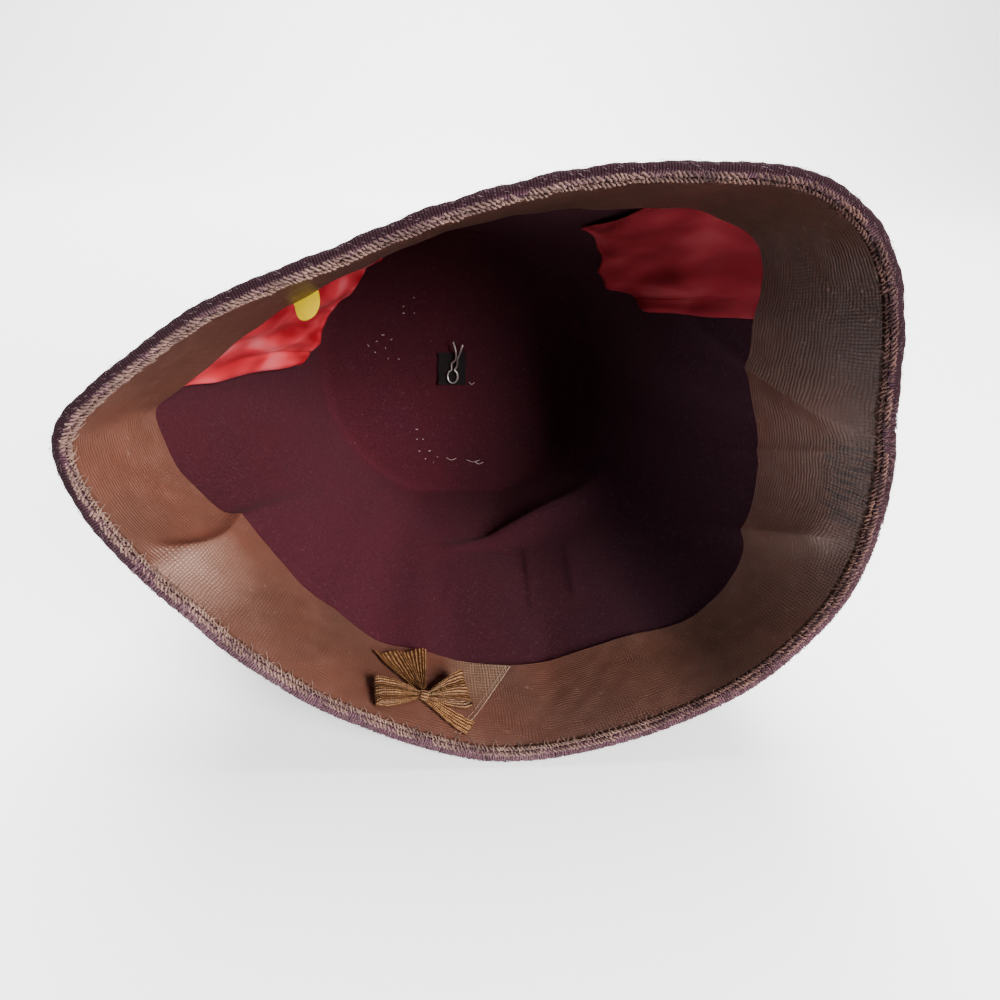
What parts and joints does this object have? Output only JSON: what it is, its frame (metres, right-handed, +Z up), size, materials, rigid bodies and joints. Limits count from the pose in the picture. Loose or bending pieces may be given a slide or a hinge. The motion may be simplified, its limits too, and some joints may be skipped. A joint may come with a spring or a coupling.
{
  "type": "hat",
  "caption": "Fez lying on its side with its mouth open: burgundy felt wall and flat crown, overcast edge, leather sweatband with a ribbon bow, torn satin lining and a bent wire pin.",
  "frame": {"origin": "centre of the bounding box on the surface the hat lies on", "axes": "+Z up; the hat lies on its side with its mouth facing -Y and its crown towards +Y; +X runs along the mouth's long way"},
  "size_m": [0.2157, 0.1877, 0.1596],
  "materials": {
    "crown_shell": "dense burgundy wool felt, matt and slightly fuzzy",
    "rim_binding": "mauve-brown overcast thread worked close round the edge",
    "sweatband": "brown leather with a fine crosshatch grain, soft sheen",
    "satin": "bright red lining satin, shiny",
    "size_tab": "plain yellow tab, smooth",
    "ribbon": "golden brown ribbed ribbon",
    "crown_patch": "very dark felt, matt",
    "tassel_pin": "dull bare steel wire"
  },
  "bodies": {
    "root": {"crown_shell": "crown_shell", "rim_binding": "rim_binding", "sweatband": "sweatband", "satin_flap_left": "satin", "satin_flap_right": "satin", "size_tab": "size_tab", "bow_knot": "ribbon", "bow_loop_left": "ribbon", "bow_loop_right": "ribbon", "bow_tail_upper": "ribbon", "bow_tail_lower": "ribbon", "crown_patch": "crown_patch", "tassel_pin": "tassel_pin"}
  },
  "joints": []
}
